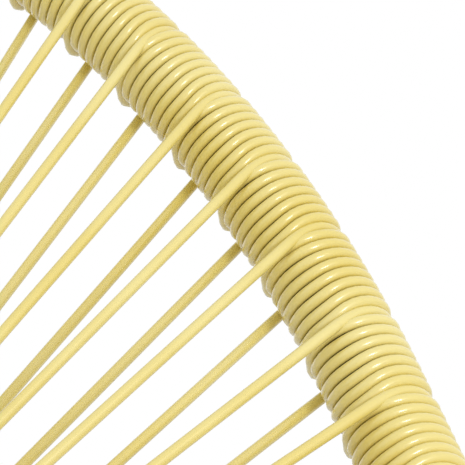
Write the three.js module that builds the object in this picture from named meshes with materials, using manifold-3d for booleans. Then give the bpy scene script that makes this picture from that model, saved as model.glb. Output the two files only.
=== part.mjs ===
// Acapulco chair: a bent steel hoop wound with plastic cord, strings of the same cord that run from
// both faces of the hoop to a small ring low in the seat, and a three legged base of steel tube.
// Units are millimetres. X runs to the sitter's left, Y to the back, Z up, and the feet stand at Z = 0.
import * as THREE from "three";
import { mergeVertices } from "three/addons/utils/BufferGeometryUtils.js";
import Module from "manifold-3d";

const wasm = await Module();
wasm.setup();

// Driving sizes of the hoop
const HOOP_HALF_WIDTH = 342;
const HOOP_LENGTH = 936; // along the bent sheet that the hoop lies in, from the front lip to the top
const HOOP_SWELL_SHARE = 0.09; // how much wider the back half is than the front half
const SEAT_STRAIGHT = 318; // the flat part of that sheet under the thighs
const BACK_STRAIGHT = 331; // the flat part of that sheet behind the back
const SEAT_ANGLE = -0.16; // radians above level, going back
const BACK_ANGLE = 1.1;
const LIP_HEIGHT = 430;
const HOOP_RADIUS = 12.5;
const HOOP_WALL = 1.5;
const HOOP_SIDES = 8;
const WELD_GAP = 0.4; // between the butting ends of the hoop tube

// Driving sizes of the cord
const CORD_DIAMETER = 3.8;
const CORD_SIDES = 5; // of a wound turn
const STRING_SIDES = 4;
const SECTORS = 26;
const STRINGS_IN_SECTOR = 3;
const SHOWN_SECTOR = 9; // the sector whose winding is made turn by turn
const TURNS_PER_STRING = 8;
const WRAP_TURNS = 1.5; // that a string makes round the hoop between its front and its back end
const LOOP_STEPS = 10;
const SEAT_GAP = 0.4; // between the winding and the hoop
const LEAST_LOOP_GAP = 0.42;
const SECTOR_GAP = 0.6;
const SLEEVE_SIDES = 10;
const SECTOR_STATIONS = 2;

// Driving sizes of the inner ring
const RING_RADIUS = 90;
const RING_ROD_RADIUS = 5;
const RING_BACK = 430; // from the front lip
const RING_DROP = 60; // below the front lip
const RING_ANGLE = 0.35;
const RING_CLEARANCE = 1.2; // between a string and the ring that it turns round
const RING_STRING_PITCH = 5.6;
const RING_STEPS = 36;
const RING_SIDES = 6;
const TURN_ANGLE = 80; // degrees each way that a string goes round the ring
const TURN_STEPS = 3;

// Driving sizes of the base
const LEG_RADIUS = 10;
const LEG_WALL = 1.5;
const LEG_SIDES = 8;
const FRONT_LUG_SECTOR = 3.5; // in sectors along the hoop from the middle of the front lip
const REAR_LUG_SECTOR = 6.5;
const FRONT_FOOT_HALF_WIDTH = 310;
const FRONT_FOOT_BACK = 15;
const REAR_FOOT_BACK = 660;
const FOOT_UPRIGHT_HEIGHT = 60; // the upright end of each leg
const LEG_TOP_LENGTH = 60;
const LEG_BEND_LENGTH = 36;
const LEG_BEND_STEPS = 3;
const BAR_HEIGHT = 280;
const BAR_BACK = 515;
const BAR_FLAT_HALF_WIDTH = 110;
const BRACE_RADIUS = 5;
const BRACE_SIDES = 8;
const FRONT_BRACE_HEIGHT = 100;
const SIDE_BRACE_HEIGHT = 125;

// Driving sizes of the lugs, bolts, clamp, stays and feet
const PLATE_GAP = 0.3; // between pieces that touch
const LUG_THICKNESS = 4;
const LUG_WIDTH = 26;
const LUG_START = 6; // from the hoop's centre line
const LUG_REACH = 46;
const LUG_CLEARANCE = 0.6;
const LUG_BOLT_FROM_TIP = 13;
const TANG_THICKNESS = 5;
const TANG_WIDTH = 17;
const TANG_OVERLAP = 20; // the length of tang inside its tube
const TANG_CLEARANCE = 2; // from the lug's tip to the tube
const TIP_STEPS = 6;
const BOLT_RADIUS = 4;
const BOLT_HOLE_CLEARANCE = 0.4;
const BOLT_SIDES = 12;
const HEX_RADIUS = 7.5;
const HEX_SIDES = 6;
const HEAD_HEIGHT = 4.5;
const NUT_HEIGHT = 6.5;
const THREAD_OVERRUN = 3;
const FOOT_RADIUS = 14;
const FOOT_FLOOR = 4;
const FOOT_HEIGHT = 24;
const FOOT_EDGE = 1.5;
const FOOT_SIDES = 16;
const STAY_RADIUS = 4;
const STAY_TIP_RADIUS = 1.9;
const STAY_TIP_LENGTH = 16;
const STAY_TAPER = 6;
const STAY_SIDES = 8;
const STAY_SECTOR = 10.5; // in sectors round the ring from its front
const CLAMP_LENGTH = 40;
const CLAMP_HALF_WIDTH = 28;
const CLAMP_WALL = 6;
const CLAMP_GAP = 2;
const CLAMP_BOLT_HALF = 19;
const CLAMP_GROOVE_SIDES = 20;
const CUT_OVERRUN = 5;

// Derived sizes
const TURN = 2 * Math.PI;
const CORD_RADIUS = CORD_DIAMETER / 2;
const WOUND_RADIUS = HOOP_RADIUS + CORD_DIAMETER;
const SLEEVE_BORE = HOOP_RADIUS + SEAT_GAP;
const RING_WRAP = RING_ROD_RADIUS + RING_CLEARANCE + CORD_RADIUS;
const BEND_LENGTH = HOOP_LENGTH - SEAT_STRAIGHT - BACK_STRAIGHT;
const BEND_RATE = (BACK_ANGLE - SEAT_ANGLE) / BEND_LENGTH;
const SAMPLES = 1440;
const LUG_BOLT = LUG_REACH - LUG_BOLT_FROM_TIP;
const LEG_TOP = LUG_REACH + TANG_CLEARANCE;
const TANG_START = LUG_THICKNESS / 2 + PLATE_GAP;
const LEG_BOTTOM = FOOT_FLOOR + PLATE_GAP;

const paint = (name, color, roughness, metalness) =>
  new THREE.MeshStandardMaterial({ name, color, roughness, metalness });
const cordPlastic = paint("cord", 0xe8d98a, 0.32, 0);
const steelPaint = paint("frame", 0x2a2320, 0.45, 0.4);
const zincPlate = paint("fasteners", 0xb8bcc0, 0.35, 0.9);
const footRubber = paint("feet", 0x1c1c1c, 0.75, 0);

const chair = new THREE.Group();

function addPiece(name, geometry, material) {
  const mesh = new THREE.Mesh(geometry, material.clone());
  mesh.name = name;
  chair.add(mesh);
}

function toSolid(geometry) {
  const bare = geometry.clone();
  bare.deleteAttribute("normal");
  bare.deleteAttribute("uv");
  const merged = mergeVertices(bare);
  return new wasm.Manifold(
    new wasm.Mesh({
      numProp: 3,
      vertProperties: new Float32Array(merged.attributes.position.array),
      triVerts: new Uint32Array(merged.index.array),
    }),
  );
}

function toGeometry(solid) {
  const mesh = solid.getMesh();
  return new THREE.BufferGeometry()
    .setAttribute("position", new THREE.BufferAttribute(mesh.vertProperties, 3))
    .setIndex(new THREE.BufferAttribute(mesh.triVerts, 1));
}

const join = (first, ...others) =>
  toGeometry(others.reduce((sum, other) => sum.add(toSolid(other)), toSolid(first)));
const cut = (first, ...others) =>
  toGeometry(others.reduce((rest, other) => rest.subtract(toSolid(other)), toSolid(first)));

// The bent sheet in side view: a flat seat, a bend and a flat back
function sheetAt(along) {
  const seat = Math.min(along, SEAT_STRAIGHT);
  const bend = THREE.MathUtils.clamp(along - SEAT_STRAIGHT, 0, BEND_LENGTH);
  const back = Math.max(along - SEAT_STRAIGHT - BEND_LENGTH, 0);
  const angle = SEAT_ANGLE + BEND_RATE * bend;
  const y =
    seat * Math.cos(SEAT_ANGLE) +
    (Math.sin(angle) - Math.sin(SEAT_ANGLE)) / BEND_RATE +
    back * Math.cos(BACK_ANGLE);
  const z =
    seat * Math.sin(SEAT_ANGLE) -
    (Math.cos(angle) - Math.cos(SEAT_ANGLE)) / BEND_RATE +
    back * Math.sin(BACK_ANGLE);
  return { y, z: LIP_HEIGHT + z, angle };
}

// The egg shaped outline on that sheet, from the middle of the lip up one side and down the other
function hoopPoint(turn) {
  const along = (HOOP_LENGTH / 2) * (1 - Math.cos(turn));
  const across = HOOP_HALF_WIDTH * Math.sin(turn) * (1 - HOOP_SWELL_SHARE * Math.cos(turn));
  const { y, z, angle } = sheetAt(along);
  return { point: new THREE.Vector3(across, y, z), angle };
}

const samples = [];
const reach = [0];
for (let i = 0; i <= SAMPLES; i++) {
  samples.push(hoopPoint((TURN * i) / SAMPLES));
  if (i > 0) reach.push(reach[i - 1] + samples[i].point.distanceTo(samples[i - 1].point));
}
for (let i = 0; i <= SAMPLES; i++) {
  const before = samples[(i + SAMPLES - 1) % SAMPLES].point;
  const after = samples[(i + 1) % SAMPLES].point;
  samples[i].along = after.clone().sub(before).normalize();
}
const PERIMETER = reach[SAMPLES];
const SECTOR_LENGTH = PERIMETER / SECTORS;
const STRING_ZONE = SECTOR_LENGTH / STRINGS_IN_SECTOR;
const TURN_PITCH = STRING_ZONE / TURNS_PER_STRING;
const STATION_LENGTH = SECTOR_LENGTH / SECTOR_STATIONS;

// A place on the hoop's centre line, with its direction, its face towards the sitter and its inward side
function hoopAt(distance) {
  const s = THREE.MathUtils.euclideanModulo(distance, PERIMETER);
  let low = 0;
  let high = SAMPLES;
  while (high - low > 1) {
    const middle = (low + high) >> 1;
    if (reach[middle] <= s) low = middle;
    else high = middle;
  }
  const share = (s - reach[low]) / (reach[high] - reach[low]);
  const point = samples[low].point.clone().lerp(samples[high].point, share);
  const along = samples[low].along.clone().lerp(samples[high].along, share).normalize();
  const angle = THREE.MathUtils.lerp(samples[low].angle, samples[high].angle, share);
  const face = new THREE.Vector3(0, -Math.sin(angle), Math.cos(angle));
  face.addScaledVector(along, -face.dot(along)).normalize();
  const inward = face.clone().cross(along);
  return { point, along, face, inward };
}

// The tube is straight between its stations, and what is wound on it follows those straight runs
function runAt(distance) {
  const station = Math.floor(distance / STATION_LENGTH);
  const place = hoopAt(station * STATION_LENGTH);
  const next = hoopAt((station + 1) * STATION_LENGTH);
  const share = distance / STATION_LENGTH - station;
  for (const key of Object.keys(place)) place[key].lerp(next[key], share);
  return place;
}

// A route given by its own points, with frames of its own or frames that don't twist
class Route extends THREE.Curve {
  constructor(points, frames) {
    super();
    this.points = points;
    this.frames = frames;
  }

  getSpacedPoints() {
    return this.points;
  }

  computeFrenetFrames() {
    if (this.frames) return this.frames;
    const last = this.points.length - 1;
    const tangents = this.points.map((point, i) => {
      const into = point.clone().sub(this.points[Math.max(i - 1, 0)]).normalize();
      const out = this.points[Math.min(i + 1, last)].clone().sub(point).normalize();
      return into.add(out).normalize();
    });
    const level = Math.abs(tangents[0].z) < Math.SQRT1_2;
    let normal = level ? new THREE.Vector3(0, 0, 1) : new THREE.Vector3(1, 0, 0);
    const normals = [];
    const binormals = [];
    for (const tangent of tangents) {
      normal = normal.clone().addScaledVector(tangent, -normal.dot(tangent)).normalize();
      normals.push(normal);
      binormals.push(tangent.clone().cross(normal));
    }
    return { tangents, normals, binormals };
  }
}

// A route with straight runs between corners, each corner rounded
function bentRoute(corners, bend, steps) {
  const points = [corners[0]];
  for (let i = 1; i < corners.length - 1; i++) {
    const toBefore = corners[i - 1].clone().sub(corners[i]).setLength(bend);
    const toAfter = corners[i + 1].clone().sub(corners[i]).setLength(bend);
    const curve = new THREE.QuadraticBezierCurve3(
      corners[i].clone().add(toBefore),
      corners[i],
      corners[i].clone().add(toAfter),
    );
    points.push(...curve.getPoints(steps));
  }
  points.push(corners[corners.length - 1]);
  return new Route(points);
}

function circle(radius, sides) {
  const points = [];
  for (let i = 0; i < sides; i++) {
    const angle = (TURN * i) / sides;
    points.push(new THREE.Vector2(radius * Math.cos(angle), radius * Math.sin(angle)));
  }
  return points;
}

const disc = (radius, sides) => new THREE.Shape(circle(radius, sides));

function annulus(outer, outerSides, inner, innerSides) {
  const section = disc(outer, outerSides);
  section.holes.push(new THREE.Path(circle(inner, innerSides)));
  return section;
}

const sweep = (section, route) =>
  new THREE.ExtrudeGeometry(section, { steps: route.points.length - 1, extrudePath: route });
const slab = (section, depth) =>
  new THREE.ExtrudeGeometry(section, { depth, bevelEnabled: false, curveSegments: TIP_STEPS });

function hoopRoute(distances) {
  const places = distances.map(runAt);
  return new Route(
    places.map((place) => place.point),
    {
      tangents: places.map((place) => place.along),
      normals: places.map((place) => place.inward),
      binormals: places.map((place) => place.face),
    },
  );
}

// The hoop tube: one length bent round, with its ends butting under the middle of the lip
function makeHoop() {
  const distances = [WELD_GAP / 2];
  for (let i = 1; i < SECTORS * SECTOR_STATIONS; i++) distances.push(i * STATION_LENGTH);
  distances.push(PERIMETER - WELD_GAP / 2);
  const section = annulus(HOOP_RADIUS, HOOP_SIDES, HOOP_RADIUS - HOOP_WALL, HOOP_SIDES);
  addPiece("hoop_tube", sweep(section, hoopRoute(distances)), steelPaint);
}

// The inner ring lies in a tilted plane with its lowest point at the front
const ringCentre = new THREE.Vector3(0, RING_BACK, LIP_HEIGHT - RING_DROP);
const ringAcross = new THREE.Vector3(1, 0, 0);
const ringUp = new THREE.Vector3(0, Math.cos(RING_ANGLE), Math.sin(RING_ANGLE));
const ringFace = new THREE.Vector3(0, -Math.sin(RING_ANGLE), Math.cos(RING_ANGLE));

function ringAt(sector, aside = 0) {
  const angle = (TURN * sector) / SECTORS + aside / RING_RADIUS;
  const outward = ringAcross.clone().multiplyScalar(Math.sin(angle));
  outward.addScaledVector(ringUp, -Math.cos(angle));
  return { point: ringCentre.clone().addScaledVector(outward, RING_RADIUS), outward };
}

function ringTorus(rodRadius) {
  const geometry = new THREE.TorusGeometry(RING_RADIUS, rodRadius, RING_SIDES, RING_STEPS);
  const placed = new THREE.Matrix4().makeBasis(ringAcross, ringUp, ringFace).setPosition(ringCentre);
  return geometry.applyMatrix4(placed);
}

// Where a string meets the winding on the front (side 1) or the back (side -1), aimed at a point
function leaveAt(distance, side, target, radius) {
  const { point, face } = runAt(distance);
  const aim = target.clone().sub(point).normalize();
  const out = face.clone().multiplyScalar(side);
  out.addScaledVector(aim, -out.dot(aim)).normalize();
  return point.clone().addScaledVector(out, radius);
}

// One string: from the front of the hoop to the ring, round it, and back to the back of the hoop
function makeString(sector, index, radius) {
  const place = index - (STRINGS_IN_SECTOR - 1) / 2;
  const middle = sector * SECTOR_LENGTH + place * STRING_ZONE;
  const half = (WRAP_TURNS * TURN_PITCH) / 2;
  const { point, outward } = ringAt(sector, place * RING_STRING_PITCH);
  const aim = runAt(middle).point.sub(point);
  const tilt = Math.atan2(aim.dot(ringFace), aim.dot(outward));
  const turns = [];
  for (let i = 0; i <= TURN_STEPS; i++) {
    const angle = THREE.MathUtils.degToRad(TURN_ANGLE * (1 - (2 * i) / TURN_STEPS)) - tilt;
    const inner = point.clone().addScaledVector(outward, -RING_WRAP * Math.cos(angle));
    turns.push(inner.addScaledVector(ringFace, RING_WRAP * Math.sin(angle)));
  }
  const front = leaveAt(middle + half, 1, turns[0], radius);
  const back = leaveAt(middle - half, -1, turns[TURN_STEPS], radius);
  return sweep(disc(CORD_RADIUS, STRING_SIDES), new Route([front, ...turns, back]));
}

// Each lug stands between two sectors, which part to let it through
const lugPlaces = {
  front_left: { sector: FRONT_LUG_SECTOR, side: 1 },
  rear_left: { sector: REAR_LUG_SECTOR, side: 1 },
  rear_right: { sector: SECTORS - REAR_LUG_SECTOR, side: -1 },
  front_right: { sector: SECTORS - FRONT_LUG_SECTOR, side: -1 },
};

function halfGapAt(boundary) {
  const lugs = Object.values(lugPlaces);
  const meetsLug = lugs.some((lug) => Math.round(2 * lug.sector) === Math.round(2 * boundary));
  return meetsLug ? LUG_THICKNESS / 2 + LUG_CLEARANCE : SECTOR_GAP / 2;
}

// The winding of one sector as a plain sleeve
function makeSleeve(sector) {
  const start = (sector - 0.5) * SECTOR_LENGTH + halfGapAt(sector - 0.5);
  const end = (sector + 0.5) * SECTOR_LENGTH - halfGapAt(sector + 0.5);
  const distances = [start];
  for (let i = 1; i < SECTOR_STATIONS; i++) {
    distances.push((sector - 0.5) * SECTOR_LENGTH + i * STATION_LENGTH);
  }
  distances.push(end);
  const outer = WOUND_RADIUS / Math.cos(Math.PI / SLEEVE_SIDES);
  const section = annulus(outer, SLEEVE_SIDES, SLEEVE_BORE, HOOP_SIDES);
  return sweep(section, hoopRoute(distances));
}

// The winding of one sector turn by turn, as one unbroken cord
function makeLoops(sector) {
  const turns = TURNS_PER_STRING * STRINGS_IN_SECTOR - 1;
  const start = sector * SECTOR_LENGTH - (turns / 2) * TURN_PITCH;
  const helix = (out) => {
    const points = [];
    for (let i = 0; i <= turns * LOOP_STEPS; i++) {
      const angle = Math.PI - (TURN * i) / LOOP_STEPS;
      const { point, inward, face } = runAt(start + (TURN_PITCH * i) / LOOP_STEPS);
      point.addScaledVector(inward, out * Math.cos(angle));
      points.push(point.addScaledVector(face, out * Math.sin(angle)));
    }
    return points;
  };
  const leastBetween = (points) => {
    let least = Infinity;
    for (let i = 0; i < points.length; i++) {
      for (let j = i + LOOP_STEPS / 2; j < points.length; j++) {
        least = Math.min(least, points[i].distanceTo(points[j]));
      }
    }
    return least;
  };
  const radius = (leastBetween(helix(WOUND_RADIUS)) - LEAST_LOOP_GAP) / 2;
  const points = helix((SLEEVE_BORE + radius) / Math.cos(Math.PI / LOOP_STEPS));
  const gap = leastBetween(points) - 2 * radius;
  console.log("winding: least gap to itself " + gap.toFixed(3) + " mm");
  return { geometry: sweep(disc(radius, CORD_SIDES), new Route(points)), centre: SLEEVE_BORE + radius };
}

function makeSectors() {
  for (let sector = 0; sector < SECTORS; sector++) {
    const shown = sector === SHOWN_SECTOR;
    const loops = shown ? makeLoops(sector) : null;
    const winding = shown ? loops.geometry : makeSleeve(sector);
    const radius = shown ? loops.centre : SLEEVE_BORE + CORD_RADIUS;
    const strings = [];
    for (let i = 0; i < STRINGS_IN_SECTOR; i++) strings.push(makeString(sector, i, radius));
    const name = "cord_sector_" + String(sector + 1).padStart(2, "0");
    addPiece(name, join(winding, ...strings), cordPlastic);
  }
}

// A lug's own frame: X across the hoop, Y away from the sitter's side, Z along the hoop to the tang
function lugFrame({ sector, side }) {
  const { point, along, face, inward } = hoopAt(sector * SECTOR_LENGTH);
  return new THREE.Matrix4()
    .makeBasis(inward.multiplyScalar(side), face.negate(), along.multiplyScalar(-side))
    .setPosition(point);
}

// A flat bar from Y = start to a rounded tip at Y = end, with a bolt hole at the tip's centre
function eyePlate(width, start, end, thickness) {
  const flip = Math.sign(end - start);
  const eye = end - (flip * width) / 2;
  const outline = new THREE.Shape();
  outline.moveTo(width / 2, start);
  outline.lineTo(width / 2, eye);
  outline.absarc(0, eye, width / 2, 0, Math.PI, flip < 0);
  outline.lineTo(-width / 2, start);
  const hole = circle(BOLT_RADIUS + BOLT_HOLE_CLEARANCE, BOLT_SIDES);
  for (const point of hole) point.y += eye;
  outline.holes.push(new THREE.Path(hole));
  return slab(outline, thickness);
}

function boltGeometry(length) {
  const head = slab(disc(HEX_RADIUS, HEX_SIDES), HEAD_HEIGHT).translate(0, 0, -HEAD_HEIGHT);
  const shank = slab(disc(BOLT_RADIUS, BOLT_SIDES), length + HEAD_HEIGHT / 2);
  return join(head, shank.translate(0, 0, -HEAD_HEIGHT / 2));
}

const nutGeometry = () =>
  slab(annulus(HEX_RADIUS, HEX_SIDES, BOLT_RADIUS + BOLT_HOLE_CLEARANCE, BOLT_SIDES), NUT_HEIGHT);

// The lugs welded under the hoop, each with the bolt and nut that hold a leg or the cross bar
function makeLugs() {
  for (const [place, lug] of Object.entries(lugPlaces)) {
    const frame = lugFrame(lug);
    const plate = eyePlate(LUG_WIDTH, LUG_START, LUG_REACH, LUG_THICKNESS);
    plate.translate(0, 0, -LUG_THICKNESS / 2);
    const saddle = slab(disc(HOOP_RADIUS + PLATE_GAP, HOOP_SIDES), LUG_THICKNESS + 2 * CUT_OVERRUN);
    saddle.translate(0, 0, -LUG_THICKNESS / 2 - CUT_OVERRUN);
    addPiece("lug_" + place, cut(plate, saddle).applyMatrix4(frame), steelPaint);
    const grip = LUG_THICKNESS + TANG_THICKNESS + 3 * PLATE_GAP;
    const bolt = boltGeometry(grip + NUT_HEIGHT + THREAD_OVERRUN);
    bolt.translate(0, LUG_BOLT, -TANG_START);
    addPiece("bolt_" + place, bolt.applyMatrix4(frame), zincPlate);
    const nut = nutGeometry().translate(0, LUG_BOLT, grip - TANG_START);
    addPiece("nut_" + place, nut.applyMatrix4(frame), zincPlate);
  }
}

// The flat tang at a tube's end, beside its lug
function tangAt(place) {
  const top = LUG_BOLT - TANG_WIDTH / 2;
  const tang = eyePlate(TANG_WIDTH, LEG_TOP + TANG_OVERLAP, top, TANG_THICKNESS);
  return tang.translate(0, 0, TANG_START).applyMatrix4(lugFrame(lugPlaces[place]));
}

// The two corners of a tube that starts at a lug
function tubeStart(place) {
  const frame = lugFrame(lugPlaces[place]);
  const middle = TANG_START + TANG_THICKNESS / 2;
  return [LEG_TOP, LEG_TOP + LEG_TOP_LENGTH].map((y) => new THREE.Vector3(0, y, middle).applyMatrix4(frame));
}

const feet = {
  front_left: new THREE.Vector3(FRONT_FOOT_HALF_WIDTH, FRONT_FOOT_BACK, 0),
  front_right: new THREE.Vector3(-FRONT_FOOT_HALF_WIDTH, FRONT_FOOT_BACK, 0),
  rear: new THREE.Vector3(0, REAR_FOOT_BACK, 0),
};

const aboveFoot = (place, height) => feet[place].clone().setZ(height);
const tubeSection = () => annulus(LEG_RADIUS, LEG_SIDES, LEG_RADIUS - LEG_WALL, LEG_SIDES);

// The clamp on the cross bar: X along the bar, Y down the rear leg
const barMiddle = new THREE.Vector3(0, BAR_BACK, BAR_HEIGHT);
const rearDown = aboveFoot("rear", FOOT_UPRIGHT_HEIGHT).sub(barMiddle).normalize();
const clampAside = new THREE.Vector3().crossVectors(ringAcross, rearDown);
const clampFrame = new THREE.Matrix4().makeBasis(ringAcross, rearDown, clampAside).setPosition(barMiddle);
const clampDepth = LEG_RADIUS + PLATE_GAP + CLAMP_WALL;

function legRoute(place) {
  const foot = [aboveFoot(place, FOOT_UPRIGHT_HEIGHT), aboveFoot(place, LEG_BOTTOM)];
  const inside = barMiddle.clone().addScaledVector(rearDown, clampDepth - CLAMP_WALL / 2);
  const top = place === "rear" ? [inside] : tubeStart(place);
  return bentRoute([...top, ...foot], LEG_BEND_LENGTH, LEG_BEND_STEPS);
}

function barRoute() {
  const left = tubeStart("rear_left");
  const right = tubeStart("rear_right").reverse();
  const flat = [BAR_FLAT_HALF_WIDTH, -BAR_FLAT_HALF_WIDTH].map((x) => barMiddle.clone().setX(x));
  return bentRoute([...left, ...flat, ...right], LEG_BEND_LENGTH, LEG_BEND_STEPS);
}

function clampHalf(side) {
  const height = clampDepth - CLAMP_GAP / 2;
  const block = new THREE.BoxGeometry(CLAMP_LENGTH, height, 2 * CLAMP_HALF_WIDTH);
  block.translate(0, side * (CLAMP_GAP / 2 + height / 2), 0);
  const grooveRadius = (LEG_RADIUS + PLATE_GAP) / Math.cos(Math.PI / CLAMP_GROOVE_SIDES);
  const groove = slab(disc(grooveRadius, CLAMP_GROOVE_SIDES), CLAMP_LENGTH + 2 * CUT_OVERRUN);
  groove.translate(0, 0, -CLAMP_LENGTH / 2 - CUT_OVERRUN).rotateY(Math.PI / 2);
  const holes = [1, -1].map((across) => {
    const hole = slab(disc(BOLT_RADIUS + BOLT_HOLE_CLEARANCE, BOLT_SIDES), 2 * clampDepth + 2 * CUT_OVERRUN);
    hole.translate(0, 0, -clampDepth - CUT_OVERRUN).rotateX(-Math.PI / 2);
    return hole.translate(0, 0, across * CLAMP_BOLT_HALF);
  });
  return cut(block, groove, ...holes).applyMatrix4(clampFrame);
}

function makeBase() {
  for (const place of ["front_left", "front_right"]) {
    addPiece("leg_" + place, join(sweep(tubeSection(), legRoute(place)), tangAt(place)), steelPaint);
  }
  addPiece("leg_rear", join(sweep(tubeSection(), legRoute("rear")), clampHalf(1)), steelPaint);
  const bar = sweep(tubeSection(), barRoute());
  addPiece("cross_bar", join(bar, tangAt("rear_left"), tangAt("rear_right")), steelPaint);
  addPiece("clamp_cap", clampHalf(-1), steelPaint);
  for (const [name, across] of [["left", 1], ["right", -1]]) {
    const bolt = boltGeometry(2 * clampDepth + 2 * PLATE_GAP + NUT_HEIGHT + THREAD_OVERRUN);
    bolt.rotateX(-Math.PI / 2).translate(0, -clampDepth - PLATE_GAP, across * CLAMP_BOLT_HALF);
    addPiece("clamp_bolt_" + name, bolt.applyMatrix4(clampFrame), zincPlate);
    const nut = nutGeometry().rotateX(-Math.PI / 2);
    nut.translate(0, clampDepth + PLATE_GAP, across * CLAMP_BOLT_HALF);
    addPiece("clamp_nut_" + name, nut.applyMatrix4(clampFrame), zincPlate);
  }
}

// Where a leg's centre line passes a height
function onLeg(place, height) {
  const { points } = legRoute(place);
  const i = points.findIndex((point) => point.z < height);
  const share = (points[i - 1].z - height) / (points[i - 1].z - points[i].z);
  return points[i - 1].clone().lerp(points[i], share);
}

// The rods that tie the three legs together near the floor
function makeBraces() {
  const rod = disc(BRACE_RADIUS, BRACE_SIDES);
  const thick = disc(LEG_RADIUS + PLATE_GAP, LEG_SIDES);
  const span = (from, to, height) => {
    const route = new Route([onLeg(from, height), onLeg(to, height)]);
    return [sweep(rod, route), sweep(thick, legRoute(from)), sweep(thick, legRoute(to))];
  };
  addPiece("brace_front", cut(...span("front_left", "front_right", FRONT_BRACE_HEIGHT)), steelPaint);
  for (const [name, side] of [["left", 1], ["right", -1]]) {
    const mitre = new THREE.BoxGeometry(REAR_FOOT_BACK, 2 * REAR_FOOT_BACK, REAR_FOOT_BACK);
    mitre.translate(side * (PLATE_GAP / 2 - REAR_FOOT_BACK / 2), REAR_FOOT_BACK, 0);
    const pieces = span("front_" + name, "rear", SIDE_BRACE_HEIGHT);
    addPiece("brace_" + name, cut(...pieces, mitre), steelPaint);
  }
}

// The two stays from the ring down to the cross bar
function makeStays() {
  const fatRing = ringTorus(RING_ROD_RADIUS + PLATE_GAP);
  const fatBar = sweep(disc(LEG_RADIUS + PLATE_GAP, LEG_SIDES), barRoute());
  for (const [name, sector] of [["left", STAY_SECTOR], ["right", SECTORS - STAY_SECTOR]]) {
    const top = ringAt(sector).point;
    const bottom = barMiddle.clone().setX(top.x);
    const length = top.distanceTo(bottom);
    const profile = [
      new THREE.Vector2(0, 0),
      new THREE.Vector2(STAY_TIP_RADIUS, 0),
      new THREE.Vector2(STAY_TIP_RADIUS, STAY_TIP_LENGTH),
      new THREE.Vector2(STAY_RADIUS, STAY_TIP_LENGTH + STAY_TAPER),
      new THREE.Vector2(STAY_RADIUS, length),
      new THREE.Vector2(0, length),
    ];
    const rod = new THREE.LatheGeometry(profile, STAY_SIDES);
    const direction = bottom.clone().sub(top).normalize();
    const turned = new THREE.Quaternion().setFromUnitVectors(new THREE.Vector3(0, 1, 0), direction);
    rod.applyQuaternion(turned).translate(top.x, top.y, top.z);
    addPiece("ring_stay_" + name, cut(rod, fatRing, fatBar), steelPaint);
  }
}

function makeFeet() {
  const profile = [
    new THREE.Vector2(0, 0),
    new THREE.Vector2(FOOT_RADIUS - FOOT_EDGE, 0),
    new THREE.Vector2(FOOT_RADIUS, FOOT_EDGE),
    new THREE.Vector2(FOOT_RADIUS, FOOT_HEIGHT),
    new THREE.Vector2(LEG_RADIUS + PLATE_GAP, FOOT_HEIGHT),
    new THREE.Vector2(LEG_RADIUS + PLATE_GAP, FOOT_FLOOR),
    new THREE.Vector2(0, FOOT_FLOOR),
  ];
  for (const [place, foot] of Object.entries(feet)) {
    const cap = new THREE.LatheGeometry(profile, FOOT_SIDES).rotateX(Math.PI / 2);
    addPiece("foot_" + place, cap.translate(foot.x, foot.y, foot.z), footRubber);
  }
}

makeHoop();
addPiece("inner_ring", ringTorus(RING_ROD_RADIUS), steelPaint);
makeSectors();
makeLugs();
makeBase();
makeBraces();
makeStays();
makeFeet();

// The origin is the middle of the chair's outline on the floor
const bounds = new THREE.Box3().setFromObject(chair);
chair.position.set(0, -(bounds.min.y + bounds.max.y) / 2, -bounds.min.z);

export default chair;
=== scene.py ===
"""Acapulco chair: its wound cord, strings and painted steel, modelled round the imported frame."""

import bisect
import math
from collections import namedtuple

import bmesh
import bpy
from bpy.props import FloatProperty, FloatVectorProperty, IntProperty, PointerProperty
from mathutils import Matrix, Vector
from mathutils.geometry import intersect_point_line


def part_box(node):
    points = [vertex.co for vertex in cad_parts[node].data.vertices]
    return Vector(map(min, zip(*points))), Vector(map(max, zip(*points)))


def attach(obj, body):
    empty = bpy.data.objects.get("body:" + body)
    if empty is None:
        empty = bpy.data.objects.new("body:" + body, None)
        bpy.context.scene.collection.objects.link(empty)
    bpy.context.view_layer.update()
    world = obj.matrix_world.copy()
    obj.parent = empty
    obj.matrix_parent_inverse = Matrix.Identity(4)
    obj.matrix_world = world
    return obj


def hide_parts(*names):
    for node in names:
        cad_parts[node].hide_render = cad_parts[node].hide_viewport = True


bl_info = {
    "name": "Acapulco Chair",
    "version": (1, 0, 0),
    "blender": (4, 5, 0),
    "location": "3D View > Sidebar > Chair",
    "description": "Models a lounge chair of cord wound and strung on a bent steel hoop",
    "category": "Add Mesh",
}

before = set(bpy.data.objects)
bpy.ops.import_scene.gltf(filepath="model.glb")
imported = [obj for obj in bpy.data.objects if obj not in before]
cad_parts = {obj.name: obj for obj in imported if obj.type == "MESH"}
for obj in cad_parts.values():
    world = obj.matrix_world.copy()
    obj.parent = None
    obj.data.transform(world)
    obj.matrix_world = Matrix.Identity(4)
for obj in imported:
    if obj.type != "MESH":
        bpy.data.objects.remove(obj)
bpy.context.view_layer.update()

TURN = 2 * math.pi
BODY = "root"

# The winding, which repeats round the hoop
SECTORS = 26
ZONE_TURNS = (8, 9, 8)
SECTOR_TURNS = sum(ZONE_TURNS)
FIRST_STRING_TURNS = -SECTOR_TURNS / len(ZONE_TURNS)
WRAP_TURNS = 1.5
SHOWN_SECTORS = (7, 8, 9, 10)
FINE_STEPS, PLAIN_STEPS = 32, 20
FINE_SIDES, PLAIN_SIDES = 14, 8

# The sides of round steel, and the steps of the hoop's tube in a sector
TUBE_SIDES = 24
ROD_SIDES = 16
HOOP_STEPS = 12

# Where the fill dips behind the hoop to pass under a string's wrap: turns from the wrap's middle, degrees
RUN = ((1.139, -50), (0.5, -54), (0.15, -57), (-0.2, -58), (-0.6, -48), (-0.917, -30))
RUN_SMOOTHING = 3
RUN_REACH = 2
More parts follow.
